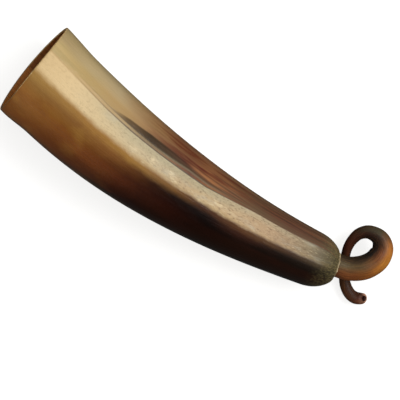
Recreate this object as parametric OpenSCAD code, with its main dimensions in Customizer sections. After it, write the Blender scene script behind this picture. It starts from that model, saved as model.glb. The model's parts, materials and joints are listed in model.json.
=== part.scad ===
// Blowing horn (shofar): a polished cow horn with a thin curled mouthpipe glued into its closed tip.
// It lies on its side on a table: +X runs from the bell to the curl, +Z is up, z = 0 is the table.

/* [Horn] */
// Width of the bell mouth
bell_w = 62.2; // [58:0.2:68]
// How far each side of the mouth flares out to the rim
mouth_flare = 1.5; // [0:0.1:2.5]
// Length over which the mouth flares
flare_len = 24; // [18:1:36]
// How far the flare leans towards the outside of the bend
flare_lean = 0.5; // [0:0.1:1]
// Height of the bell's section, as a share of its width before the flare
bell_squash = 0.93; // [0.88:0.01:1]
// Extra width that swells the horn behind the rim
bell_swell = 3; // [1:0.1:5]
// Width that draws the middle of the horn in
waist_w = 44; // [42:0.2:47]
// Width of the horn where its domed end starts
tip_w = 34.4; // [33:0.2:37]
// Length along X from the centre of the mouth to the end of the dome
horn_len = 223.8; // [216:0.2:230]
// Length of the domed end
dome_len = 19.5; // [17:0.5:22]
// Bluntness of the dome: 2 is an ellipse, more is squarer
dome_power = 2.2; // [2:0.1:2.6]

/* [Bend] */
// Sideways pull on the centreline near the mouth
bow_near = -20.4; // [-22:0.2:-18]
// Sideways pull on the centreline near the tip
bow_far = -18; // [-20:0.2:-16]
// Sideways place of the end of the dome
bow_tip = -5.8; // [-7:0.2:-4]
// Angle by which the mouth is cut out of square
rim_cut = 8; // [0:0.1:10]
// Length over which the sections turn from the mouth's plane to square
rim_cut_len = 36; // [30:1:50]

/* [Scraped flat] */
// Half of the angle that the flat takes out of a section
flat_half = 15; // [10:5:20]

/* [Hollow] */
// Wall thickness at the rim
rim_wall = 2.2; // [1.8:0.1:2.8]
// Extra wall thickness at the end of the hollow
deep_wall = 6; // [4:0.5:8]
// Depth of the hollow along X
hollow_len = 160; // [145:1:168]
// Length of the hollow's rounded end
hollow_end = 26; // [20:1:32]

/* [Tip joint] */
// Radius of the mouthpipe's spigot
spigot_r = 5; // [4.5:0.1:5.3]
// Length of the spigot inside the socket
spigot_len = 12; // [8:1:14]
// Thickness of the glue round the spigot
glue_t = 0.4; // [0.3:0.1:0.6]
// Radius of the bead of glue outside
bead_r = 8.9; // [8.4:0.1:9.4]
// Thickness of the bead of glue outside
bead_t = 1.6; // [1.2:0.1:2]
// Radius of the air bore through the tip and the spigot
air_r = 2.5; // [2:0.1:2.8]

/* [Mouthpipe] */
// Radius of the mouthpipe where it meets the horn
neck_r = 7.5; // [7.2:0.1:7.8]
// Direction of the neck, in plan
neck_yaw = 16; // [13:1:19]
// Distance of the neck from the horn's centreline, in plan
neck_offset = 2.2; // [1:0.2:3]
// Radius of the air passage in the curl at its narrowest
passage_r = 1.5; // [1.2:0.1:1.6]
// Radius of the blow hole
blow_r = 2; // [1.8:0.1:2.2]
// Depth of the blow hole
blow_len = 5; // [4:0.5:5.5]

/* [Hidden] */

horn_sides = 36;
pipe_sides = 18;
pipe_steps = 3;
seat_back = 3.5;
socket_gap = 0.5;
overlap = 0.5;
round_fn = 64;

plain_r = bell_w / 2 - mouth_flare;
tip_r = tip_w / 2;
dome_x = horn_len - dome_len;
socket_r = spigot_r + glue_t;

// ---- Horn: centreline and sections, before the shift to the origin ----

function cubic(u, a, b, c, d) =
    pow(1 - u, 3) * a + 3 * pow(1 - u, 2) * u * b + 3 * (1 - u) * u * u * c + pow(u, 3) * d;

// Half width of a section at x before the flare, as if the horn went on past its dome
function plain_w(x) = cubic(x / dome_x, plain_r, plain_r + bell_swell / 2, waist_w / 2, tip_r);

// Share of the mouth's flare that is left at x
function flare(x) = (1 + cos(180 * min(1, x / flare_len))) / 2;

// Half width of a section at x
function half_w(x) = plain_w(x) + mouth_flare * flare(x);

// Half height of a section at x
function half_h(x) = plain_w(x) * min(1, bell_squash + (1 - bell_squash) * x / dome_x);

// Centreline in plan, and its direction
function bow_y(x) = cubic(x / horn_len, 0, bow_near, bow_far, bow_tip);
function bow_yaw(x) =
    let (
        u = x / horn_len,
        pull = pow(1 - u, 2) * bow_near + 2 * (1 - u) * u * (bow_far - bow_near)
            + u * u * (bow_tip - bow_far)
    )
    atan(3 * pull / horn_len);
function centre(x) = [x, bow_y(x) - flare_lean * flare(x), half_h(x)];

// Direction of a section's plane: the cut mouth blends into square sections
function ring_yaw(x) = bow_yaw(x) + rim_cut * pow(max(0, 1 - x / rim_cut_len), 2);
function side(yaw) = [-sin(yaw), cos(yaw), 0];

// Radius factor at angle a from the top: the scraped flat cuts the section from 0 to 2 * flat_half
function flat_cut(a) = a >= 0 && a <= 2 * flat_half ? cos(flat_half) / cos(a - flat_half) : 1;

// One section of the horn, with half width w and half height h
function section(x, w, h, flat) =
    [for (i = [0 : horn_sides - 1])
        let (a = 360 * i / horn_sides, f = flat ? flat_cut(a) : 1)
        centre(x) + f * (w * sin(a) * side(ring_yaw(x)) + [0, 0, h * cos(a)])];

// Outer sections, from the end of the dome back to the rim
dome_rings = [
    for (a = [85 : -10 : 15])
        let (
            x = dome_x + dome_len * pow(sin(a), 2 / dome_power),
            s = pow(cos(a), 2 / dome_power)
        )
        section(x, s * half_w(x), s * half_h(x), true)
];
outer_rings = [
    for (x = [dome_x : -10 : 0.01])
        section(x, half_w(x), half_h(x), true)
];
rim_ring = section(0, half_w(0), half_h(0), true);

// Hollow sections, from the rim to the hollow's rounded end
function wall(x) = rim_wall + deep_wall * pow(x / hollow_len, 2);
function hollow_close(x) =
    sqrt(1 - pow(max(0, x - hollow_len + hollow_end) / hollow_end, 2));
hollow_x = [
    for (x = [0 : 12 : hollow_len - hollow_end])
        x,
    for (a = [5 : 14 : 85])
        hollow_len - hollow_end + hollow_end * sin(a)
];
hollow_rings = [
    for (x = hollow_x)
        let (s = hollow_close(x))
        section(x, s * (half_w(x) - wall(x)), s * (half_h(x) - wall(x)), false)
];

// ---- Mouthpipe: route and sections ----

seat_x = horn_len - seat_back;
seat = centre(seat_x) + neck_offset * side(neck_yaw);
neck_dir = [cos(neck_yaw), sin(neck_yaw), 0];
neck_start = seat + bead_t * neck_dir;

// Points of the curl from the neck's start, and the pipe's radius at each
curl = [
    [0, 0, 0, neck_r],
    [7.5 * neck_dir.x, 7.5 * neck_dir.y, 0, 7.7],
    [14.2, 6.9, 0.8, 8],
    [18.1, 12.6, 1.2, 7.8],
    [19.4, 18.1, 1.4, 7.5],
    [18.6, 23.4, 1, 6.8],
    [15.2, 27.1, 0.4, 6],
    [10.9, 28.4, -0.2, 5.1],
    [5.8, 27.3, -1.6, 4.4],
    [2.3, 23.5, -3.4, 3.8],
    [1.2, 18.3, -5.4, 3.4],
    [1.8, 13.3, -7.6, 3.2],
    [3.8, 8.3, -9.9, 3.1],
    [6.8, 2.8, -11.7, 3.1],
    [10.3, -2.7, -12.2, 3.4],
    [14.6, -7.6, -12.1, 3.7],
    [19.2, -10.4, -11.6, 3.9],
    [23.6, -10.6, -10.6, 4],
    [26.9, -9.2, -9.4, 3.9],
    [29.3, -7.4, -7.8, 3.5]
];
curl_last = len(curl) - 1;

// Smooth curve through the points: four numbers of the neighbours at a share u of one stretch
function through(a, b, c, d, u) =
    0.5 * (2 * b + (c - a) * u + (2 * a - 5 * b + 4 * c - d) * u * u
        + (3 * b - a - 3 * c + d) * pow(u, 3));
function curl_point(i) =
    i < 0 ? 2 * curl[0] - curl[1]
        : i > curl_last ? 2 * curl[curl_last] - curl[curl_last - 1] : curl[i];
route = [
    for (i = [0 : curl_last - 1], k = [0 : pipe_steps - 1])
        through(curl_point(i - 1), curl[i], curl[i + 1], curl_point(i + 2), k / pipe_steps),
    curl[curl_last]
];
route_last = len(route) - 1;

function place(i) = neck_start + [route[i].x, route[i].y, route[i].z];
function unit(v) = v / norm(v);
function heading(i) =
    i == 0 ? neck_dir
        : i == route_last ? blow_dir : unit(place(i + 1) - place(i - 1));

function pipe_ring(i, r) =
    let (
        across = unit(cross(heading(i), [0, 0, 1])),
        up = cross(across, heading(i))
    )
    [for (k = [0 : pipe_sides - 1])
        let (a = 360 * k / pipe_sides)
        place(i) + r * (sin(a) * across + cos(a) * up)];

blow_dir = unit([for (k = [0 : 2]) curl[curl_last][k] - curl[curl_last - 1][k]]);
blow_mouth = place(route_last);

pipe_outer = [
    for (i = [0 : route_last])
        pipe_ring(i, route[i][3])
];
pipe_passage = [
    for (i = [route_last : -1 : 0])
        pipe_ring(i, passage_r + (air_r - overlap - passage_r) * pow(1 - i / route_last, 2))
];

// ---- Origin: middle of the whole box in plan, and the table ----

all_points = [
    for (rings = [[rim_ring], outer_rings, dome_rings, pipe_outer], ring = rings, p = ring)
        p
];
function spread(axis) = [for (p = all_points) p[axis]];
function middle(axis) = (min(spread(axis)) + max(spread(axis))) / 2;
origin = [middle(0), middle(1), min(spread(2))];

// ---- Modules ----

// Solid skin over a row of rings: closed by its end rings, or joined last to first
module skin(rings, joined = false) {
    n = len(rings[0]);
    rows = len(rings);
    quads = [
        for (j = [0 : rows - (joined ? 1 : 2)], i = [0 : n - 1])
            let (
                a = j * n + i,
                b = j * n + (i + 1) % n,
                c = (j + 1) % rows * n + (i + 1) % n,
                d = (j + 1) % rows * n + i
            )
            each [[a, c, b], [a, d, c]]
    ];
    caps = [
        [for (i = [0 : n - 1]) i],
        [for (i = [n - 1 : -1 : 0]) (rows - 1) * n + i]
    ];
    polyhedron([for (ring = rings) each ring], joined ? quads : concat(quads, caps));
}

// Cylinder along the line from one point to another
module rod(from, to, r) {
    v = to - from;
    translate(from)
        rotate([0, acos(v.z / norm(v)), atan2(v.y, v.x)])
            cylinder(h = norm(v), r = r, $fn = round_fn);
}

// Stands its children on the horn's seat, their z along the neck
module on_seat() {
    translate(seat)
        rotate([0, 90, neck_yaw])
            children();
}

module horn_body() {
    socket_floor = seat - (spigot_len + socket_gap) * neck_dir;
    color([0.45, 0.29, 0.16])
        translate(-origin)
            difference() {
                skin(concat(dome_rings, outer_rings, [rim_ring], hollow_rings));
                rod(seat, seat + dome_len * neck_dir, tip_r);
                rod(socket_floor, seat + neck_dir, socket_r);
                rod(centre(hollow_len - hollow_end), socket_floor + overlap * neck_dir, air_r);
            }
}

module curled_mouthpipe() {
    color([0.27, 0.18, 0.11])
        translate(-origin)
            difference() {
                union() {
                    skin(concat(pipe_outer, pipe_passage), joined = true);
                    rod(seat - spigot_len * neck_dir, neck_start + overlap * neck_dir, spigot_r);
                }
                rod(seat - (spigot_len + 1) * neck_dir, neck_start + 2 * neck_dir, air_r);
                rod(blow_mouth - blow_len * blow_dir, blow_mouth + blow_dir, blow_r);
            }
}

module neck_glue() {
    bead_round = bead_t / 2;
    color([0.62, 0.54, 0.40])
        translate(-origin)
            on_seat()
                rotate_extrude($fn = round_fn)
                    polygon([
                        [spigot_r, bead_t],
                        [spigot_r, -spigot_len],
                        [socket_r, -spigot_len],
                        [socket_r, 0],
                        for (a = [-90 : 30 : 90])
                            [bead_r - bead_round + bead_round * cos(a),
                                bead_round + bead_round * sin(a)]
                    ]);
}

horn_body();
curled_mouthpipe();
neck_glue();
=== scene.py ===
"""Looks of the blowing horn: its three solids are replaced by finer skins with painted horn."""

import json
import math

import bpy
import numpy as np
from mathutils import Matrix, Vector


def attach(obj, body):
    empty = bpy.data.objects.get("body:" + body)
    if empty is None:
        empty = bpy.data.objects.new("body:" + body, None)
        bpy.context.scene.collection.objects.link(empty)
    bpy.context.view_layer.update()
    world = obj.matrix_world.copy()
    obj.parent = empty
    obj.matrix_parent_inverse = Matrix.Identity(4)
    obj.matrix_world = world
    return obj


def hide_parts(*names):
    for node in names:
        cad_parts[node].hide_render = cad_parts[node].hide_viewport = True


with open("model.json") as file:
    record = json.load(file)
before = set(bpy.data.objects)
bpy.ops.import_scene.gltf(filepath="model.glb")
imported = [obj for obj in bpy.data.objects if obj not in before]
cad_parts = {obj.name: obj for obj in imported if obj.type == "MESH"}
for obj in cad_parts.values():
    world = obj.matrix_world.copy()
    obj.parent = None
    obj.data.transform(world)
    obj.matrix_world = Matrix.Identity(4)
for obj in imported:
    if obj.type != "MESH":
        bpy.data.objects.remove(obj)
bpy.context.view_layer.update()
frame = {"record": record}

MOUNTS = {mount["name"]: mount for mount in frame["record"]["mounts"]}

# ---- Sizes, in metres, as the solids have them ----

MOUTH = Vector(MOUNTS["bell_rim"]["pos_m"])
PLAIN_R = 0.0296
MOUTH_FLARE = 0.0015
FLARE_LEN = 0.024
FLARE_LEAN = 0.0005
BELL_SWELL = 0.003
BELL_SQUASH = 0.93
WAIST_R = 0.022
TIP_R = 0.0172
HORN_LEN = 0.2238
DOME_LEN = 0.0195
DOME_X = HORN_LEN - DOME_LEN
DOME_POWER = 2.2
BOW = (0.0, -0.0204, -0.018, -0.0058)
RIM_CUT = math.radians(8)
RIM_CUT_LEN = 0.036

RIM_WALL = 0.0022
DEEP_WALL = 0.006
HOLLOW_LEN = 0.160
HOLLOW_END = 0.026
AIR_R = 0.0025

NECK_YAW = math.radians(16)
NECK_OFFSET = 0.0022
SEAT_BACK = 0.0035
BEAD_R = 0.0089
BEAD_T = 0.0016
BLOW_R = MOUNTS["blow_hole"]["dims"]["r_mm"] / 1000
BLOW_LEN = MOUNTS["blow_hole"]["dims"]["length_mm"] / 1000

# Curl of the mouthpipe from the neck's start, and its radius, in millimetres
CURL = np.array([
    (0, 0, 0, 7.5), (7.21, 2.07, 0, 7.7), (14.2, 6.9, 0.8, 8), (18.1, 12.6, 1.2, 7.8),
    (19.4, 18.1, 1.4, 7.5), (18.6, 23.4, 1, 6.8), (15.2, 27.1, 0.4, 6), (10.9, 28.4, -0.2, 5.1),
    (5.8, 27.3, -1.6, 4.4), (2.3, 23.5, -3.4, 3.8), (1.2, 18.3, -5.4, 3.4), (1.8, 13.3, -7.6, 3.2),
    (3.8, 8.3, -9.9, 3.1), (6.8, 2.8, -11.7, 3.1), (10.3, -2.7, -12.2, 3.4), (14.6, -7.6, -12.1, 3.7),
    (19.2, -10.4, -11.6, 3.9), (23.6, -10.6, -10.6, 4), (26.9, -9.2, -9.4, 3.9),
    (29.3, -7.4, -7.8, 3.5),
]) / 1000

# ---- Sizes that only the skins have ----

# The skins' plain shapes lie this far inside the solids
SKIN = 0.00015
# Rounding of the rim's edges
LIP = 0.0006
# How far the rim stands out of its straight cut at its highest and lowest points
RIM_BOW = 0.0014
# Angle of the scraped flat's upper edge, in degrees, along the horn from mouth (0) to dome (1)
FLAT_TOP = [(0, 27), (0.12, 25), (0.2, 23), (0.3, 22), (0.54, 22), (0.62, 26), (0.7, 30), (1, 30)]
# Where along the horn the flat fades into the dome
FLAT_FADE = (0.9, 0.98)
# Softness of the flat's two edges, and size of its waves, as shares of the radius
FLAT_SOFT_BELOW = 0.018
FLAT_SOFT_ABOVE = 0.0035
FLAT_WAVES = (0.0016, 0.0012)
# Unevenness of the whole surface, long and short, as shares of the radius
UNEVEN_LONG = 0.0009
UNEVEN_SHORT = 0.0004
HOLLOW_UNEVEN = 0.6

ROW_STEP = 0.0012
DOME_STEP = 3
HOLLOW_ROWS = 66

PIPE_SIDES = 64
PIPE_STEPS = 9
# Share of the pipe's radius that is left after carving
CARVED = 0.985
# The pipe's first ring is hidden in the glue
PIPE_ROOT = 0.8 * BEAD_T

# Rounding of the blow end, the slope of its slanting cut and how far back the slant reaches
TIP_ROUND = 0.0014
TIP_SLANT = 0.5
TIP_SLANT_LEN = 0.011
# Depth and radius of the visible blow hole, which is narrower than the solid's bore
BLOW_FUNNEL = [(SKIN, BLOW_R - 0.0007), (0.0008, BLOW_R - 0.0010), (0.002, BLOW_R * 0.5),
               (BLOW_LEN, BLOW_R * 0.45)]
# Place along that marks the blow hole's rings for the paint, which colours them near black as painted
# shade
HOLE_ALONG = 1.2

# The glue's foot is this far into the horn, and its inner ring this far into the pipe
GLUE_FOOT = 0.0004
GLUE_GRIP = 0.0003
GLUE_LUMP = 0.0006
GLUE_POWER = 0.45


# ---- Shapes ----

def horn_angles():
    """Angles round the horn, closer together over the scraped flat and its edges."""
    fine_from, fine_to = -8, 42
    coarse = [d for d in range(-180, 180, 2) if not fine_from <= d <= fine_to]
    fine = np.arange(fine_from, fine_to + 0.1, 0.8)
    return np.radians(np.sort(np.concatenate([coarse, fine])))


ANGLES = horn_angles()
PIPE_ANGLES = np.linspace(0, 2 * math.pi, PIPE_SIDES, endpoint=False)


def cubic(u, a, b, c, d):
    return (1 - u) ** 3 * a + 3 * (1 - u) ** 2 * u * b + 3 * (1 - u) * u * u * c + u ** 3 * d


def plain_w(x):
    return cubic(x / DOME_X, PLAIN_R, PLAIN_R + BELL_SWELL / 2, WAIST_R, TIP_R)


def flare(x):
    """Share of the mouth's flare that is left at x."""
    return (1 + math.cos(math.pi * min(1, x / FLARE_LEN))) / 2


def half_w(x):
    return plain_w(x) + MOUTH_FLARE * flare(x)


def half_h(x):
    return plain_w(x) * min(1, BELL_SQUASH + (1 - BELL_SQUASH) * x / DOME_X)


def rim_share(x):
    """How much of the cut rim's shape is left at x."""
    return max(0, 1 - x / RIM_CUT_LEN) ** 2


def ring_yaw(x):
    """Direction of a section's plane: that of the bow, and near the mouth that of the cut rim."""
    u = x / HORN_LEN
    slope = 3 * ((1 - u) ** 2 * BOW[1] + 2 * (1 - u) * u * (BOW[2] - BOW[1])
                 + u * u * (BOW[3] - BOW[2])) / HORN_LEN
    return math.atan(slope) + RIM_CUT * rim_share(x)


def centre(x):
    lean = FLARE_LEAN * (1 - flare(x))
    return np.array([MOUTH.x + x, MOUTH.y + cubic(x / HORN_LEN, *BOW) + lean, half_h(x)])


NECK = np.array([math.cos(NECK_YAW), math.sin(NECK_YAW), 0])
NECK_SIDE = np.array([-NECK[1], NECK[0], 0])
SEAT = centre(HORN_LEN - SEAT_BACK) + NECK_OFFSET * NECK_SIDE
PIPE_START = SEAT + BEAD_T * NECK


def ring(x, width, height, factor=1.0):
    """One section of the horn. The angle runs from the top towards +Y."""
    yaw = ring_yaw(x)
    across = factor * width * np.sin(ANGLES)
    pull = RIM_BOW * rim_share(x) * np.cos(ANGLES) ** 2
    offsets = np.stack([-math.sin(yaw) * across - pull, math.cos(yaw) * across,
                        factor * height * np.cos(ANGLES)], axis=1)
    return centre(x) + offsets


def soft_min(a, b, softness):
    """The lower of two values, blended where they are close."""
    share = np.clip(0.5 + 0.5 * (b - a) / softness, 0, 1)
    return b * (1 - share) + a * share - softness * share * (1 - share)


def scraped(x):
    """Radius factor of the flat that is scraped along the horn: crisp above, soft and wavy below."""
    half = math.radians(np.interp(x / HORN_LEN, *zip(*FLAT_TOP))) / 2
    turn = np.clip(ANGLES - half, -1.3, 1.3)
    wave = FLAT_WAVES[0] * math.sin(x * 95) + FLAT_WAVES[1] * math.sin(x * 231 + 1)
    flat = math.cos(half) / np.cos(turn) + wave * (turn < 0)
    cut = soft_min(1.0, flat, np.where(turn < 0, FLAT_SOFT_BELOW, FLAT_SOFT_ABOVE))
    return cut + (1 - cut) * np.interp(x / HORN_LEN, FLAT_FADE, (0, 1))


def uneven(x):
    """Hand-scraped unevenness of the surface, as a share of the radius."""
    long_wave = np.sin(3 * ANGLES + 40 * x) + np.sin(5 * ANGLES - 62 * x + 1)
    short_wave = np.sin(9 * ANGLES + 90 * x + 2) + np.sin(14 * ANGLES - 35 * x)
    return 1 + UNEVEN_LONG * long_wave + UNEVEN_SHORT * short_wave


def outside_rows():
    """Rings of the outside, from the mouth to the top of the dome, each with its place along."""
    rows = []
    for x in np.linspace(LIP, DOME_X, int(DOME_X / ROW_STEP)):
        rows.append((x, ring(x, half_w(x) - SKIN, half_h(x) - SKIN, scraped(x) * uneven(x))))
    for turn in np.radians(np.arange(DOME_STEP, 90, DOME_STEP)):
        x = DOME_X + DOME_LEN * math.sin(turn) ** (2 / DOME_POWER)
        shrink = math.cos(turn) ** (2 / DOME_POWER)
        points = ring(x, shrink * (half_w(x) - SKIN), shrink * (half_h(x) - SKIN),
                      scraped(x) * uneven(x))
        past = np.maximum(0, (points - SEAT) @ NECK + SKIN)
        rows.append((x, points - past[:, None] * NECK))
    return rows


def rim_ring(x, inset, factor=1.0):
    """A ring on the rim, set in from the mouth's own outline."""
    return ring(x, half_w(0) - inset, half_h(0) - inset, factor)


def lip_rows():
    """Rings over the rim, from the outside to the inside, with both edges rounded."""
    rows = []
    for turn in np.radians([60, 30, 0]):
        x = LIP * (1 - math.cos(turn)) + SKIN
        rows.append((x, rim_ring(x, SKIN + LIP * (1 - math.sin(turn)), scraped(0))))
    for share in (0.35, 0.65):
        inset = LIP + SKIN + share * (RIM_WALL - 2 * LIP)
        rows.append((SKIN, rim_ring(SKIN, inset, rim_factor(share))))
    for turn in np.radians([0, 30, 60]):
        x = LIP * (1 - math.cos(turn)) + SKIN
        rows.append((x, rim_ring(x, RIM_WALL - LIP * (1 - math.sin(turn)))))
    return rows


def rim_factor(share):
    """Radius factor across the rim: the flat outside fades into the round hollow."""
    return 1 + (scraped(0) - 1) * (1 - share)


def hollow_rows():
    """Rings of the hollow, from the rim to its rounded end and on into the air bore."""
    rows = []
    straight = np.linspace(LIP, HOLLOW_LEN - HOLLOW_END, HOLLOW_ROWS)
    rounded = HOLLOW_LEN - HOLLOW_END * (1 - np.sin(np.radians(np.arange(5, 90, 5))))
    for x in np.concatenate([straight, rounded]):
        past = max(0, x - HOLLOW_LEN + HOLLOW_END) / HOLLOW_END
        close = math.sqrt(1 - past * past)
        wall = RIM_WALL + DEEP_WALL * (x / HOLLOW_LEN) ** 2
        wide = max(close * (half_w(x) - wall), AIR_R)
        high = max(close * (half_h(x) - wall), AIR_R)
        rows.append((x, ring(x, wide, high, 1 + HOLLOW_UNEVEN * (uneven(x) - 1))))
    for x in np.arange(0.003, 0.04, 0.006) + HOLLOW_LEN:
        rows.append((x, ring(x, AIR_R, AIR_R)))
    return rows


def through(points, steps):
    """Smooth curve through the points, with their radii."""
    padded = np.vstack([2 * points[0] - points[1], points, 2 * points[-1] - points[-2]])
    found = []
    for a, b, c, d in zip(padded, padded[1:], padded[2:], padded[3:]):
        for u in np.arange(steps) / steps:
            found.append(0.5 * (2 * b + (c - a) * u + (2 * a - 5 * b + 4 * c - d) * u * u
                                + (3 * b - a - 3 * c + d) * u ** 3))
    return np.array(found + [points[-1]])


def unit(vector):
    return vector / np.linalg.norm(vector)


def pipe_ring(point, heading, radius):
    """A ring round the pipe, with one radius or one for each angle, from the top outwards."""
    across = unit(np.cross(heading, (0, 0, 1)))
    up = np.cross(across, heading)
    spread = np.sin(PIPE_ANGLES)[:, None] * across + np.cos(PIPE_ANGLES)[:, None] * up
    return point + np.reshape(radius, (-1, 1)) * spread


def carving(share):
    """Carved unevenness of the pipe, as a share of its radius."""
    broad = np.sin(2 * PIPE_ANGLES + 21 * share)
    narrow = np.sin(3 * PIPE_ANGLES - 47 * share)
    return 1 + 0.012 * broad + 0.006 * narrow


def slanted(points, heading, tip_r, radius, back):
    """Sets the upper side of a ring near the tip back, so the blow hole shows from above."""
    share = TIP_SLANT * max(0, 1 - back / TIP_SLANT_LEN)
    return points - (share * (tip_r + radius * np.cos(PIPE_ANGLES)))[:, None] * heading


def pipe_rows():
    """Rings of the mouthpipe from inside the glue to the blunt tip and into the blow hole."""
    route = through(CURL, PIPE_STEPS)
    points = PIPE_START + route[:, :3]
    radii = route[:, 3] - SKIN
    headings = [unit(b - a) for a, b in zip(points[:-1], points[1:])]
    headings.append(headings[-1])
    headings[0] = NECK
    end, aim, tip_r = points[-1], headings[-1], radii[-1]

    def tip_ring(back, radius):
        return slanted(pipe_ring(end - back * aim, aim, radius), aim, tip_r, radius, back)

    rows = [(0, pipe_ring(points[0] - PIPE_ROOT * NECK, NECK, radii[0]))]
    shares = np.linspace(0, 1, len(points))
    for share, point, heading, radius in zip(shares, points, headings, radii):
        back = np.linalg.norm(end - point)
        if back < TIP_ROUND:
            break
        carved = pipe_ring(point, heading, CARVED * radius * carving(share))
        rows.append((share, slanted(carved, aim, tip_r, radius, back)))
    for turn in np.radians([10, 30, 50, 70, 85]):
        back = TIP_ROUND * (1 - math.sin(turn)) + SKIN
        rows.append((1, tip_ring(back, tip_r - TIP_ROUND * (1 - math.cos(turn)))))
    for back, radius in BLOW_FUNNEL:
        rows.append((HOLE_ALONG, tip_ring(back, radius)))
    return rows


def glue_rows():
    """Rings of the bead of glue that is squeezed out round the neck."""
    lump = (np.sin(3 * PIPE_ANGLES + 1) + 0.7 * np.sin(7 * PIPE_ANGLES)
            + 0.5 * np.sin(13 * PIPE_ANGLES + 2)) / 2.2
    reach = BEAD_R - SKIN - GLUE_LUMP * (1 + lump)
    dips = np.sin(4 * PIPE_ANGLES + 3) * np.sin(11 * PIPE_ANGLES)
    thick = (BEAD_T - SKIN) * (0.8 + 0.2 * dips)
    neck_r = CURL[0, 3] - GLUE_GRIP
    foot = SEAT - GLUE_FOOT * NECK
    rows = [(0, pipe_ring(foot, NECK, neck_r)), (0, pipe_ring(foot, NECK, reach))]
    for share in np.linspace(0, 1, 7):
        turn = share * math.pi / 2
        out = neck_r + (reach - neck_r) * math.cos(turn) ** GLUE_POWER
        lift = np.outer(thick * math.sin(turn), NECK)
        rows.append((share, pipe_ring(SEAT, NECK, out) + lift))
    return rows


# ---- Meshes ----

def build(name, rows, angles, material_of, materials, closed=False):
    """Makes a mesh piece from rings, keeping each point's place along and round as an attribute."""
    count = len(angles)
    last = len(rows) - 1
    faces = []
    slots = []
    for row in range(last + (1 if closed else 0)):
        near, far = row * count, (row + 1) % (last + 1) * count
        for i in range(count):
            k = (i + 1) % count
            faces.append((near + i, near + k, far + k, far + i))
            slots.append(material_of(row))
    if not closed:
        faces.append(tuple(range(count - 1, -1, -1)))
        faces.append(tuple(range(last * count, last * count + count)))
        slots += [material_of(0), material_of(last)]
    points = np.concatenate([points for _, points in rows])
    mesh = bpy.data.meshes.new(name)
    mesh.from_pydata(points.tolist(), [], faces)
    mesh.polygons.foreach_set("material_index", slots)
    mesh.polygons.foreach_set("use_smooth", [True] * len(faces))
    place = np.concatenate([
        np.stack([np.full(count, along), np.sin(angles), np.cos(angles)], axis=1)
        for along, _ in rows])
    attribute = mesh.attributes.new("place", "FLOAT_VECTOR", "POINT")
    attribute.data.foreach_set("vector", place.astype(np.float32).ravel())
    for material in materials:
        mesh.materials.append(material)
    mesh.update()
    piece = bpy.data.objects.new(name, mesh)
    bpy.context.collection.objects.link(piece)
    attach(piece, "root")
    return piece


# ---- Materials ----

def colour(red, green, blue, light=1.0):
    """The paint for a screen colour from 0 to 255, as linear light, for a share of full light."""
    def linear(value):
        share = value / 255
        return share / 12.92 if share <= 0.04045 else ((share + 0.055) / 1.055) ** 2.4
    return (light * linear(red), light * linear(green), light * linear(blue), 1)


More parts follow.
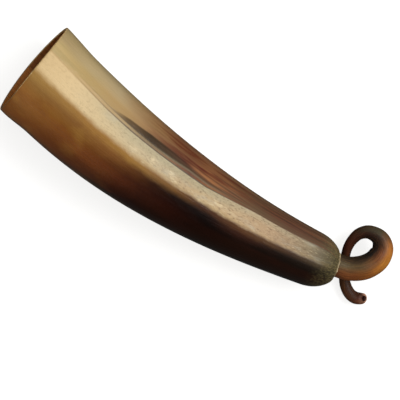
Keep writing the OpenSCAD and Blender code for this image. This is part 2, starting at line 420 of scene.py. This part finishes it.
class Paint:
    """The nodes of one material, written as plain calls."""

    def __init__(self, name):
        self.material = bpy.data.materials.new(name)
        self.material.use_nodes = True
        tree = self.material.node_tree
        self.nodes = tree.nodes
        self.links = tree.links
        self.shader = self.nodes["Principled BSDF"]

    def feed(self, socket, value):
        if isinstance(value, bpy.types.NodeSocket):
            self.links.new(value, socket)
        else:
            socket.default_value = value

    def add(self, kind, values, **settings):
        node = self.nodes.new("ShaderNode" + kind)
        for name, value in settings.items():
            setattr(node, name, value)
        for key, value in values.items():
            self.feed(node.inputs[key], value)
        return node

    def calc(self, operation, *values):
        return self.add("Math", dict(enumerate(values)), operation=operation).outputs[0]

    def plus(self, a, b):
        return self.calc("ADD", a, b)

    def minus(self, a, b):
        return self.calc("SUBTRACT", a, b)

    def times(self, *values):
        result = values[0]
        for value in values[1:]:
            result = self.calc("MULTIPLY", result, value)
        return result

    def place(self):
        """The place attribute, its share along and its angle round in degrees."""
        found = self.add("Attribute", {}, attribute_name="place").outputs["Vector"]
        parts = self.add("SeparateXYZ", {0: found}).outputs
        turn = self.calc("ARCTAN2", parts[1], parts[2])
        return found, parts[0], self.calc("MULTIPLY", turn, math.degrees(1))

    def scaled(self, vector, scale):
        return self.add("VectorMath", {0: vector, 1: scale}, operation="MULTIPLY").outputs[0]

    def position(self, scale):
        """Position on the part, so many to the metre."""
        return self.scaled(self.add("NewGeometry", {}).outputs["Position"], (scale, scale, scale))

    def noise(self, vector, detail=3.0, rough=0.55):
        return self.add("TexNoise", {"Vector": vector, "Scale": 1.0, "Detail": detail,
                                     "Roughness": rough}).outputs[0]

    def grain(self, found, along, around, detail=3.0, rough=0.55):
        """Noise on the surface with its own fineness along and around."""
        return self.noise(self.scaled(found, (along, around, around)), detail, rough)

    def cells(self, found, along, around):
        stretched = self.scaled(found, (along, around, around))
        return self.add("TexVoronoi", {"Vector": stretched, "Scale": 1.0}).outputs[0]

    def sway(self, noise, amount):
        """Noise as an offset to either side of nothing."""
        return self.times(self.minus(noise, 0.5), amount)

    def step(self, value, low, high):
        """From 0 at low to 1 at high, smoothly; low may be the larger."""
        return self.add("MapRange", {"Value": value, "From Min": low, "From Max": high},
                        interpolation_type="SMOOTHSTEP").outputs[0]

    def window(self, value, low, high, soft):
        """1 between low and high, fading out over soft on each side."""
        return self.times(self.step(value, low - soft, low), self.step(value, high + soft, high))

    def stops(self, share, shades):
        """A colour ramp with a linear colour at each position."""
        node = self.add("ValToRGB", {0: share})
        elements = node.color_ramp.elements
        while len(elements) < len(shades):
            elements.new(1.0)
        for element, (position, _) in zip(elements, shades):
            element.position = position
        for element, (_, shade) in zip(elements, shades):
            element.color = shade
        return node.outputs[0]

    def ramp(self, share, shades, light=1.0):
        return self.stops(share, [(position, colour(*shade, light)) for position, shade in shades])

    def curve(self, share, values):
        """A number from 0 to 1 that follows the values along."""
        return self.stops(share, [(position, (value, value, value, 1)) for position, value in values])

    def mix(self, share, under, over):
        return self.add("Mix", {0: share, 6: under, 7: over}, data_type="RGBA").outputs[2]

    def tint(self, base, over, *shares):
        """The base with another colour over it, as strongly as the product of the shares."""
        return self.mix(self.times(*shares), base, over)

    def bump(self, height, distance, normal=None):
        values = {"Height": height, "Distance": distance, "Strength": 1.0}
        if normal is not None:
            values["Normal"] = normal
        return self.add("Bump", values).outputs[0]

    def finish(self, base, rough, normal, specular):
        self.feed(self.shader.inputs["Base Color"], base)
        self.feed(self.shader.inputs["Roughness"], rough)
        self.feed(self.shader.inputs["Normal"], normal)
        self.shader.inputs["Specular IOR Level"].default_value = specular
        return self.material


# Colours along the outside of the horn, from the mouth (0) to the dome (1), zone by zone
UPPER = [(0, (176, 152, 108)), (0.1, (184, 162, 116)), (0.2, (176, 155, 116)), (0.27, (162, 130, 88)),
         (0.34, (150, 112, 72)), (0.41, (122, 76, 46)), (0.48, (118, 76, 48)), (0.55, (130, 84, 52)),
         (0.62, (114, 76, 48)), (0.7, (100, 70, 48)), (0.8, (100, 68, 50)), (0.9, (104, 74, 52)),
         (0.95, (96, 82, 56)), (1, (80, 74, 48))]
SHOULDER = [(0, (217, 188, 129)), (0.1, (203, 173, 114)), (0.22, (194, 160, 106)), (0.34, (168, 126, 84)),
            (0.41, (148, 106, 70)), (0.48, (112, 64, 38)), (0.55, (152, 97, 53)), (0.61, (132, 88, 57)),
            (0.7, (108, 80, 54)), (0.82, (106, 72, 50)), (0.9, (104, 78, 54)), (0.95, (94, 82, 56)),
            (1, (82, 76, 50))]
# The flat's colours are its pale scraped horn with a painted highlight in them
BAND_AND_HIGHLIGHT = [(0, (232, 200, 146)), (0.1, (238, 208, 156)), (0.2, (228, 202, 154)), (0.3, (216, 194, 152)),
        (0.43, (204, 182, 144)), (0.5, (200, 172, 130)), (0.57, (204, 176, 132)), (0.75, (190, 158, 120)),
        (0.82, (170, 142, 108)), (0.88, (146, 126, 94)), (0.93, (112, 100, 72)), (1, (78, 72, 46))]
EDGE = [(0.03, (168, 128, 66)), (0.2, (162, 116, 54)), (0.34, (162, 118, 54)), (0.41, (142, 102, 54)),
        (0.48, (116, 78, 36)), (0.56, (72, 42, 24)), (0.68, (92, 56, 28)), (0.75, (90, 60, 34)),
        (0.85, (70, 48, 32)), (1, (66, 60, 38))]
GOLD = [(0.03, (152, 110, 54)), (0.2, (134, 88, 40)), (0.27, (138, 90, 42)), (0.34, (104, 62, 26)),
        (0.41, (52, 24, 6)), (0.48, (24, 7, 2)), (0.58, (18, 6, 4)), (0.68, (60, 30, 18)),
        (0.8, (28, 15, 8)), (0.92, (28, 19, 11)), (1, (50, 44, 28))]
LOWER = [(0.03, (136, 90, 42)), (0.1, (126, 82, 32)), (0.2, (106, 62, 22)), (0.27, (94, 54, 22)),
         (0.34, (62, 30, 15)), (0.41, (42, 18, 10)), (0.48, (32, 10, 5)), (0.56, (10, 3, 2)),
         (0.7, (16, 8, 5)), (0.92, (14, 9, 6)), (1, (42, 37, 23))]
DEEP = [(0.03, (106, 66, 30)), (0.1, (98, 58, 26)), (0.2, (64, 38, 21)), (0.27, (46, 28, 18)),
        (0.34, (18, 8, 6)), (0.45, (14, 4, 2)), (0.6, (8, 4, 2)), (0.93, (12, 9, 7)),
        (1, (30, 27, 18))]
UNDER = [(0.02, (68, 44, 24)), (0.1, (46, 34, 21)), (0.34, (44, 34, 25)), (0.5, (22, 14, 9)),
         (1, (20, 16, 12))]
FAR = [(0, (150, 124, 82)), (0.25, (122, 92, 56)), (0.5, (88, 55, 34)), (0.75, (62, 43, 31)),
       (1, (50, 42, 28))]

# Share of those colours that the paint has in this scene's light
BAND_LIGHT = 0.58
SHOULDER_LIGHT = 0.52
UPPER_LIGHT = 0.6
STREAK_LIGHT = 0.45
EDGE_LIGHT = 0.62
LOWER_LIGHT = 0.9
DEEP_LIGHT = 1.5
PIPE_LIGHT = 0.7


class HornPlace:
    """Where a point of the horn's outside is. Angles are in degrees from the top, towards +Y."""

    def __init__(self, p):
        self.found, self.along, self.turn = p.place()
        found, along, turn = self.found, self.along, self.turn
        self.shift = p.plus(along, p.sway(p.grain(found, 7, 3, 2), 0.08))
        self.soft = p.plus(turn, p.sway(p.grain(found, 9, 1.6, 4), 22))
        self.ragged = p.plus(turn, p.sway(p.grain(found, 34, 4, 4), 16))
        lifted = p.times(p.curve(along, [(0.56, 0), (0.66, 0.15), (1, 0.1)]), 10)
        self.wavy = p.plus(p.plus(turn, p.sway(p.grain(found, 26, 5, 3), 6)), lifted)
        self.wander = p.sway(p.grain(found, 6, 0.5, 2), 4)
        self.across = p.plus(turn, self.wander)
        flat_top = p.times(p.curve(along, [(x, degrees / 100) for x, degrees in FLAT_TOP]), 100)
        self.above = p.minus(turn, flat_top)
        crisp = p.curve(along, [(0, 0.25), (0.15, 0.08), (0.3, 0.05), (0.8, 0.08), (0.93, 0.5), (1, 0.9)])
        blur = p.times(crisp, 10)
        self.band = p.times(p.step(self.wavy, -3.5, 5), p.step(self.above, blur, p.times(blur, -1)),
                            p.curve(along, [(0.9, 1), (0.965, 0.4), (1, 0.15)]))


def horn_outside():
    """Polished horn: cream flat with a painted highlight in its colour, khaki to red-brown above it,
    amber to black below it.
    """
    p = Paint("horn_outside")
    at = HornPlace(p)
    base = horn_zones(p, at)
    base = band_tones_and_highlights(p, at, base)
    base = flank_streaks(p, at, base)
    base = shoulder_shadow(p, at, base)
    base = tip_lines(p, at, base)
    base = upper_tints(p, at, base)
    base = lower_tints(p, at, base)
    base = ridge_and_seams(p, at, base)
    base, marks = flat_marks(p, at, base)
    base = tip_grime(p, at, base)

    lines = p.grain(at.found, 5, 34, 3)
    dull = p.plus(p.times(at.band, 0.18), p.times(p.step(at.along, 0.9, 0.97), 0.2))
    rough = p.plus(p.plus(0.24, p.times(lines, 0.12)), dull)
    normal = p.bump(lines, 0.00012)
    normal = p.bump(p.grain(at.found, 60, 14, 3), 0.00016, normal)
    normal = p.bump(marks, 0.00008, normal)
    return p.finish(base, rough, normal, specular=0.16)


def horn_zones(p, at):
    """The plain colours, from the underside up both flanks to the flat, whose pale colour holds a painted
    highlight.
    """
    base = p.ramp(at.shift, UNDER, DEEP_LIGHT)
    base = p.tint(base, p.ramp(at.shift, DEEP, DEEP_LIGHT), p.step(at.ragged, -80, -72))
    base = p.tint(base, p.ramp(at.shift, LOWER, LOWER_LIGHT), p.step(at.soft, -60, -36))
    base = p.tint(base, p.ramp(at.shift, GOLD, EDGE_LIGHT), p.step(at.soft, -30, -12))
    base = p.tint(base, p.ramp(at.shift, EDGE, EDGE_LIGHT), p.step(at.wavy, -14, -4))
    far = p.mix(p.step(at.soft, 125, 165), p.ramp(at.shift, FAR, UPPER_LIGHT),
                p.ramp(at.shift, UNDER, UPPER_LIGHT))
    upper = p.mix(p.step(at.soft, 38, 54), p.ramp(at.shift, SHOULDER, SHOULDER_LIGHT),
                  p.ramp(at.shift, UPPER, UPPER_LIGHT))
    upper = p.tint(upper, far, p.step(at.soft, 80, 115))
    base = p.tint(base, upper, p.step(at.above, 0, 1))
    # The flat: pale scraped horn with a painted highlight over it
    return p.tint(base, p.ramp(at.shift, BAND_AND_HIGHLIGHT, BAND_LIGHT), at.band)


def band_tones_and_highlights(p, at, base):
    """The flat's greyer upper part, painted as a sheen, its warm lower part and bright painted highlight
    patches.
    """
    cloud = p.grain(at.found, 15, 5, 4)
    # Painted sheen: the flat's upper part turns greyer and paler
    grey_sheen = p.times(p.step(p.plus(at.above, p.times(cloud, 12)), -9, 4), at.band,
                   p.curve(at.along, [(0.08, 0), (0.25, 0.5), (0.5, 0.8), (0.8, 0.5), (0.95, 0)]))
    base = p.tint(base, colour(176, 170, 138, BAND_LIGHT), grey_sheen, 0.75)
    warm = p.times(p.step(p.minus(at.wavy, p.times(cloud, 10)), 4, -5), at.band,
                   p.curve(at.along, [(0.2, 0.1), (0.4, 0.7), (0.6, 0.8), (0.75, 0.3)]))
    base = p.tint(base, colour(206, 168, 104, BAND_LIGHT), warm, 0.6)
    # Painted highlight: bright patches on the flat's lower part, half way along
    highlight_patches = p.times(p.step(p.grain(at.found, 30, 9, 4), 0.52, 0.66), at.band,
                   p.window(at.along, 0.34, 0.6, 0.08), p.step(at.above, -6, -10))
    return p.tint(base, colour(244, 222, 178, BAND_LIGHT), highlight_patches, 0.6)


def flank_streaks(p, at, base):
    """Rust-red and orange streaks on the upper flank, half way along."""
    rust = p.step(p.grain(at.found, 5, 9, 3, 0.6), 0.47, 0.57)
    where = p.times(p.curve(at.along, [(0.3, 0), (0.4, 0.6), (0.5, 1), (0.6, 0.8), (0.7, 0.2)]),
                    p.window(at.turn, 36, 66, 10))
    base = p.tint(base, colour(92, 32, 14, UPPER_LIGHT), rust, where)
    ember = p.step(p.grain(at.found, 4, 13, 3, 0.6), 0.52, 0.66)
    where = p.times(p.window(at.along, 0.51, 0.6, 0.06), p.window(at.turn, 34, 56, 8))
    return p.tint(base, colour(184, 124, 76, UPPER_LIGHT), ember, where, 0.6)


def shoulder_shadow(p, at, base):
    """The long dark streak just above the flat."""
    edge = p.times(p.curve(at.along, [(0.2, 0.06), (0.27, 0.13), (0.34, 0.16), (0.42, 0.165),
                                      (0.5, 0.14), (0.6, 0.09), (0.66, 0.03)]), 100)
    reach = p.minus(edge, p.plus(at.above, p.times(at.wander, 0.4)))
    strength = p.curve(at.along, [(0.2, 0), (0.26, 0.8), (0.34, 1), (0.42, 0.85), (0.5, 0.5),
                                  (0.64, 0.1)])
    dark = p.ramp(at.along, [(0.28, (86, 62, 30)), (0.36, (62, 42, 14)), (0.46, (58, 34, 14)),
                             (0.58, (84, 42, 18))], STREAK_LIGHT)
    return p.tint(base, dark, p.step(reach, 0, 2.2), p.step(at.above, 3.8, 5.8), strength)


def tip_lines(p, at, base):
    """Fine dark, pale and red growth lines on the upper flank towards the tip."""
    where = p.times(p.curve(at.along, [(0.3, 0.04), (0.55, 0.3), (0.7, 1), (0.93, 1), (1, 0.3)]),
                    p.step(at.above, 0, 5))
    dark = p.step(p.grain(at.found, 3, 22, 4, 0.6), 0.48, 0.6)
    base = p.tint(base, colour(52, 34, 22, UPPER_LIGHT), dark, where, 0.85)
    pale = p.step(p.grain(at.found, 2.6, 30, 4, 0.6), 0.54, 0.68)
    base = p.tint(base, colour(156, 126, 90, UPPER_LIGHT), pale, where, 0.5)
    red = p.step(p.grain(at.found, 3.4, 17, 3, 0.6), 0.55, 0.68)
    return p.tint(base, colour(116, 58, 38, UPPER_LIGHT), red, where, 0.55)


def upper_tints(p, at, base):
    """Gold lines, khaki patches, a pale blush and an olive edge on the upper flank."""
    gold = p.times(p.step(p.grain(at.found, 2.2, 30, 3), 0.56, 0.7), p.window(at.turn, 52, 88, 8),
                   p.curve(at.along, [(0, 0.2), (0.5, 0.3), (0.9, 0.2)]))
    base = p.tint(base, colour(196, 156, 100, UPPER_LIGHT), gold)
    khaki = p.step(p.grain(at.found, 5, 7, 3, 0.5), 0.5, 0.66)
    where = p.times(p.window(at.turn, 30, 80, 8), p.curve(at.along, [(0, 0.6), (0.25, 0.5), (0.4, 0)]))
    base = p.tint(base, colour(168, 150, 98, UPPER_LIGHT), khaki, where, 0.6)
    blush = p.times(p.window(at.across, 46, 58, 8),
                    p.curve(at.along, [(0.03, 0.1), (0.1, 0.8), (0.2, 0.9), (0.34, 0)]))
    base = p.tint(base, colour(206, 182, 140, UPPER_LIGHT), blush, 0.35)
    olive = p.times(p.step(at.turn, 64, 84), p.curve(at.along, [(0, 0.6), (0.3, 0.45), (0.5, 0.2)]))
    return p.tint(base, colour(132, 118, 78, UPPER_LIGHT), olive, 0.6)


def lower_tints(p, at, base):
    """Gilt, tawny and ruddy patches on the lower flank near the mouth, and darker clouds."""
    near = p.times(p.curve(at.along, [(0, 1), (0.2, 0.8), (0.36, 0)]), p.step(at.turn, -2, -14))
    gilt = p.step(p.grain(at.found, 9, 2, 3), 0.5, 0.68)
    base = p.tint(base, colour(172, 132, 60, LOWER_LIGHT), gilt, near, 0.2)
    tawny = p.step(p.grain(at.found, 7, 2.6, 3), 0.54, 0.7)
    base = p.tint(base, colour(128, 68, 28, LOWER_LIGHT), tawny, near, 0.35)
    ruddy = p.times(p.window(at.across, -62, -34, 12),
                    p.curve(at.along, [(0.02, 0.2), (0.14, 0.8), (0.26, 0.7), (0.4, 0.1)]))
    base = p.tint(base, colour(116, 52, 20, LOWER_LIGHT), ruddy, 0.35)
    cloud = p.times(p.step(p.grain(at.found, 12, 2.4, 4), 0.46, 0.64), p.step(at.turn, -6, -24))
    shades = [(0, (112, 68, 30)), (0.25, (96, 46, 20)), (0.5, (34, 14, 8))]
    return p.tint(base, p.ramp(at.along, shades, LOWER_LIGHT), cloud, 0.35)


def ridge_and_seams(p, at, base):
    """The pale ridge along the flat's upper edge, between two thin dark seams."""
    apart = p.times(p.curve(at.along, [(0.36, 0), (0.48, 0.35), (0.58, 0.15)]), 10)
    off = p.minus(at.above, apart)
    strength = p.curve(at.along, [(0.03, 0), (0.12, 0.4), (0.28, 0.7), (0.5, 0.75), (0.7, 0.3),
                                  (0.95, 0)])
    shades = [(0.1, (220, 182, 132)), (0.26, (176, 152, 108)), (0.34, (118, 106, 76)),
              (0.48, (128, 108, 84)), (0.6, (112, 90, 62))]
    base = p.tint(base, p.ramp(at.along, shades, UPPER_LIGHT), p.window(off, 2.0, 3.8, 1.0), strength)
    seams = p.plus(p.window(at.above, 0.0, 0.8, 0.8), p.times(p.window(off, 4.6, 5.4, 0.8), 0.7))
    strength = p.curve(at.along, [(0.08, 0), (0.18, 0.3), (0.27, 0.85), (0.55, 0.85), (0.64, 0.3),
                                  (0.9, 0.2)])
    return p.tint(base, colour(74, 64, 40, UPPER_LIGHT), seams, strength)


def flat_marks(p, at, base):
    """Pits, flecks, a painted whitish sheen and scratches on the flat. Returns the colour and the marks'
    height.
    """
    rare = p.step(p.grain(at.found, 26, 5, 2), 0.46, 0.6)
    where = p.curve(at.along, [(0.04, 0.1), (0.2, 1), (0.32, 0.9), (0.45, 0.5), (0.9, 0.7)])
    pits = p.times(p.step(p.cells(at.found, 210, 26), 0.4, 0.1), rare, where, at.band)
    base = p.tint(base, colour(142, 134, 104, BAND_LIGHT), pits, 0.4)

    fleck = p.grain(at.found, 90, 24, 4, 0.7)
    speckled = p.times(at.band, p.curve(at.along, [(0.1, 0.15), (0.35, 0.3), (0.6, 0.6), (0.95, 0.75)]))
    base = p.tint(base, colour(112, 86, 60, BAND_LIGHT), speckled, p.step(fleck, 0.5, 0.68))
    base = p.tint(base, colour(222, 200, 160, BAND_LIGHT), speckled, p.step(fleck, 0.44, 0.3))
    # Painted sheen: whitish patches over the flat
    whitish_sheen = p.times(p.step(p.grain(at.found, 16, 4, 3), 0.5, 0.72), at.band, p.step(at.along, 0.1, 0.3))
    base = p.tint(base, colour(206, 204, 184, BAND_LIGHT), whitish_sheen, 0.3)

    scratched = p.times(p.step(p.grain(at.found, 14, 70, 2, 0.5), 0.6, 0.7),
                        p.step(p.grain(at.found, 20, 6), 0.5, 0.6))
    base = p.tint(base, colour(240, 222, 186, BAND_LIGHT), scratched, at.band, 0.3)
    return base, p.minus(p.plus(0.5, p.times(scratched, 0.1)), pits)


def tip_grime(p, at, base):
    """Dirt and crumbs on the dome, round the neck."""
    grime = p.grain(at.found, 130, 30, 5, 0.7)
    base = p.tint(base, colour(112, 100, 62), p.step(at.along, 0.9, 0.98), p.step(grime, 0.48, 0.58), 0.5)
    base = p.tint(base, colour(34, 31, 18), p.step(at.along, 0.95, 0.98), p.step(grime, 0.52, 0.42), 0.8)
    crumbs = p.step(p.grain(at.found, 210, 40, 3, 0.6), 0.54, 0.62)
    return p.tint(base, colour(150, 134, 92), p.step(at.along, 0.965, 0.985), crumbs, 0.6)


def horn_inside():
    """The hollow: warm brown and fibrous, duller than the outside."""
    p = Paint("horn_inside")
    found, along, turn = p.place()
    fibre = p.grain(found, 6, 18, 4, 0.6)
    # Darker deeper into the hollow: partly the horn's own colour, partly painted shade
    base = p.ramp(along, [(0, (118, 66, 22)), (0.08, (98, 52, 16)), (0.3, (64, 34, 12)),
                          (0.7, (32, 20, 10))])
    base = p.tint(base, colour(172, 104, 38), p.step(turn, 20, -60), p.step(along, 0.25, 0.02), 0.6)
    base = p.tint(base, colour(48, 26, 10), p.step(fibre, 0.45, 0.7), 0.5)
    rough = p.plus(0.5, p.times(fibre, 0.25))
    normal = p.bump(p.plus(fibre, p.grain(found, 160, 3, 2)), 0.0002)
    return p.finish(base, rough, normal, specular=0.2)


def horn_rim():
    """The cut rim, with its thin layers of horn on edge."""
    p = Paint("horn_rim")
    turn = p.place()[2]
    layers = p.noise(p.position(900), 4, 0.6)
    base = p.ramp(layers, [(0.25, (120, 92, 52)), (0.5, (168, 136, 88)), (0.75, (206, 178, 130))])
    low = p.step(p.plus(turn, p.times(layers, 30)), 5, -30)
    base = p.tint(base, colour(104, 66, 32), low, 0.7)
    rough = p.plus(0.4, p.times(layers, 0.25))
    return p.finish(base, rough, p.bump(layers, 0.0001), specular=0.4)


# Colours along the mouthpipe, from the neck (0) to the blow end (1)
PIPE_OUTER = [(0, (108, 62, 34)), (0.07, (122, 68, 34)), (0.14, (146, 88, 36)), (0.2, (182, 118, 44)),
              (0.26, (170, 104, 42)), (0.31, (104, 68, 40)), (0.36, (66, 60, 42)), (0.46, (54, 40, 28)),
              (0.54, (74, 34, 22)), (0.66, (64, 36, 22)), (0.76, (66, 38, 22)), (0.9, (76, 44, 28)),
              (0.96, (96, 54, 36)), (1, (110, 74, 54))]
PIPE_MIDDLE = [(0, (88, 74, 44)), (0.08, (88, 68, 38)), (0.15, (108, 68, 34)), (0.22, (112, 60, 28)),
               (0.29, (62, 38, 22)), (0.36, (42, 27, 20)), (0.5, (54, 25, 17)), (0.62, (78, 40, 26)),
               (0.7, (58, 33, 19)), (0.9, (60, 33, 20)), (0.97, (80, 42, 30))]
PIPE_INNER = [(0, (52, 40, 26)), (0.08, (44, 34, 24)), (0.16, (34, 30, 26)), (0.3, (32, 28, 26)),
              (0.42, (32, 23, 19)), (0.55, (58, 22, 14)), (0.7, (50, 28, 18)), (1, (66, 36, 24))]


def pipe_horn():
    """The carved mouthpipe: olive and red-brown neck, amber outside of the curl, dark tail."""
    p = Paint("mouthpipe_horn")
    found, along, turn = p.place()
    shift = p.plus(along, p.sway(p.grain(found, 24, 1.5, 3), 0.05))
    out = p.calc("SINE", p.calc("RADIANS", turn))
    out = p.plus(out, p.sway(p.grain(found, 12, 1.2, 3), 0.5))
    base = p.mix(p.step(out, -0.8, -0.25), p.ramp(shift, PIPE_INNER, PIPE_LIGHT),
                 p.ramp(shift, PIPE_MIDDLE, PIPE_LIGHT))
    base = p.tint(base, p.ramp(shift, PIPE_OUTER, PIPE_LIGHT), p.step(out, -0.25, 0.55))
    streak = p.grain(found, 7, 8, 4, 0.6)
    base = p.tint(base, colour(40, 26, 18), p.step(streak, 0.5, 0.72), 0.5)
    base = p.tint(base, colour(128, 84, 46, PIPE_LIGHT), p.step(streak, 0.46, 0.3), 0.3)
    fine = p.grain(found, 16, 16, 4, 0.65)
    base = p.tint(base, colour(46, 30, 18), p.step(fine, 0.52, 0.66), 0.45)
    base = p.tint(base, colour(150, 104, 60, PIPE_LIGHT), p.step(fine, 0.44, 0.3), 0.3)
    under_side = p.step(p.calc("ABSOLUTE", turn), 60, 120)
    base = p.tint(base, colour(186, 138, 112, PIPE_LIGHT), p.step(along, 0.985, 1), under_side, 0.8)
    # Painted shade: the blow hole's rings are near black
    base = p.tint(base, colour(34, 10, 5), p.step(along, 1.02, 1.12))
    rough = p.plus(0.3, p.times(streak, 0.2))
    normal = p.bump(streak, 0.00015)
    normal = p.bump(p.grain(found, 90, 4, 3), 0.00018, normal)
    return p.finish(base, rough, normal, specular=0.1)


def cured_glue():
    """Dull beige glue with pale crumbs and brown dirt in it."""
    p = Paint("cured_glue")
    fine = p.noise(p.position(700), 5, 0.65)
    dirt = p.noise(p.position(260), 3)
    base = p.ramp(fine, [(0.32, (96, 82, 58)), (0.48, (146, 130, 98)), (0.64, (186, 170, 136))])
    base = p.tint(base, colour(94, 78, 50), p.step(dirt, 0.45, 0.55), 0.75)
    return p.finish(base, 0.62, p.bump(fine, 0.0004), specular=0.3)


# ---- Pieces ----

def make_horn():
    outside = outside_rows()
    lip = lip_rows()
    rings = outside[::-1] + lip + hollow_rows()
    rows = [(x / HORN_LEN, points) for x, points in rings]
    rim_from = len(outside) - 1
    rim_to = rim_from + len(lip) + 1

    def material_of(row):
        return 0 if row < rim_from else 1 if row < rim_to else 2

    piece = build("horn_shell", rows, ANGLES, material_of, [horn_outside(), horn_rim(), horn_inside()])
    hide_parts("horn_body")


def make_pipe():
    piece = build("mouthpipe_skin", pipe_rows(), PIPE_ANGLES, lambda row: 0, [pipe_horn()])
    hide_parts("curled_mouthpipe")


def make_glue():
    piece = build("glue_bead", glue_rows(), PIPE_ANGLES, lambda row: 0, [cured_glue()], closed=True)
    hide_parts("neck_glue")


# ---- Stage, light and camera ----

CAMERA_TILT = math.radians(10.3)
CAMERA_ROLL = math.radians(32.02)
CAMERA_DISTANCE = 1.2
CAMERA_LENS = 180
CAMERA_SENSOR = 36
TARGET = Vector((MOUTH.x + 0.12704, MOUTH.y - 0.01384, 0.02))

FLOOR_HALF = 4.0
FLOOR_DROP = 0.0002
FLOOR_GREY = (0.25, 0.25, 0.25, 1)
FLOOR_GLOW = (1, 0.995, 0.985, 1)
FLOOR_GLOW_STRENGTH = 0.8

# The world's light by the cosine to its brightest direction, and the even tone that the camera sees
SKY_TOP = (0.1, 0.55, 0.83)
SKY_FROM, SKY_TO = 0.2, 0.95
SKY_DIM, SKY_BRIGHT = 0.07, 1.3
SKY_COLOUR = (1, 0.99, 0.97, 1)
BACKDROP = 0.95

KEY_FROM = (0.42, 0.58, 1)
FILL_FROM = (-0.2, -1, 0.35)


def make_floor():
    corners = [(-1, -1), (1, -1), (1, 1), (-1, 1)]
    mesh = bpy.data.meshes.new("studio_floor")
    mesh.from_pydata([(x * FLOOR_HALF, y * FLOOR_HALF, -FLOOR_DROP) for x, y in corners], [],
                     [(0, 1, 2, 3)])
    floor = bpy.data.objects.new("studio_floor", mesh)
    bpy.context.collection.objects.link(floor)
    p = Paint("pale_floor")
    p.shader.inputs["Base Color"].default_value = FLOOR_GREY
    p.shader.inputs["Roughness"].default_value = 0.9
    p.shader.inputs["Specular IOR Level"].default_value = 0
    p.shader.inputs["Emission Color"].default_value = FLOOR_GLOW
    p.shader.inputs["Emission Strength"].default_value = FLOOR_GLOW_STRENGTH
    mesh.materials.append(p.material)
    floor.visible_glossy = False
    floor.visible_diffuse = False


def make_world():
    """Soft light, mostly from above, behind an even pale backdrop."""
    world = bpy.data.worlds.new("studio")
    bpy.context.scene.world = world
    world.use_nodes = True
    nodes, links = world.node_tree.nodes, world.node_tree.links
    background = nodes["Background"]
    background.inputs["Color"].default_value = SKY_COLOUR
    direction = nodes.new("ShaderNodeTexCoord")
    height = nodes.new("ShaderNodeVectorMath")
    height.operation = "DOT_PRODUCT"
    height.inputs[1].default_value = Vector(SKY_TOP).normalized()
    ramp = nodes.new("ShaderNodeMapRange")
    ramp.interpolation_type = "SMOOTHSTEP"
    ramp.inputs["From Min"].default_value = SKY_FROM
    ramp.inputs["From Max"].default_value = SKY_TO
    ramp.inputs["To Min"].default_value = SKY_DIM
    ramp.inputs["To Max"].default_value = SKY_BRIGHT
    path = nodes.new("ShaderNodeLightPath")
    seen = nodes.new("ShaderNodeMix")
    seen.inputs["B"].default_value = BACKDROP
    links.new(direction.outputs["Generated"], height.inputs[0])
    links.new(height.outputs["Value"], ramp.inputs["Value"])
    links.new(path.outputs["Is Camera Ray"], seen.inputs["Factor"])
    links.new(ramp.outputs[0], seen.inputs["A"])
    links.new(seen.outputs["Result"], background.inputs["Strength"])


def make_light(name, direction, distance, size, power, mirrored):
    """A soft area light that points at the horn and can't be seen itself."""
    data = bpy.data.lights.new(name, "AREA")
    data.shape = "RECTANGLE"
    data.size, data.size_y = size
    data.energy = power
    light = bpy.data.objects.new(name, data)
    bpy.context.collection.objects.link(light)
    towards = Vector(direction).normalized()
    light.location = TARGET + distance * towards
    light.rotation_euler = towards.to_track_quat("Z", "Y").to_euler()
    light.visible_camera = False
    light.visible_glossy = mirrored


def make_camera():
    data = bpy.data.cameras.new("camera")
    data.lens = CAMERA_LENS
    data.sensor_width = CAMERA_SENSOR
    camera = bpy.data.objects.new("camera", data)
    bpy.context.collection.objects.link(camera)
    turn = Matrix.Rotation(-CAMERA_TILT, 4, "Y") @ Matrix.Rotation(CAMERA_ROLL, 4, "Z")
    place = TARGET + CAMERA_DISTANCE * (turn @ Vector((0, 0, 1)))
    camera.matrix_world = Matrix.Translation(place) @ turn
    bpy.context.scene.camera = camera


make_horn()
make_pipe()
make_glue()
make_floor()
make_world()
make_light("key_softbox", KEY_FROM, distance=1.3, size=(0.9, 0.5), power=14, mirrored=True)
make_light("side_fill", FILL_FROM, distance=1.5, size=(1.2, 0.8), power=9, mirrored=False)
make_camera()
bpy.context.scene.view_settings.view_transform = "Standard"
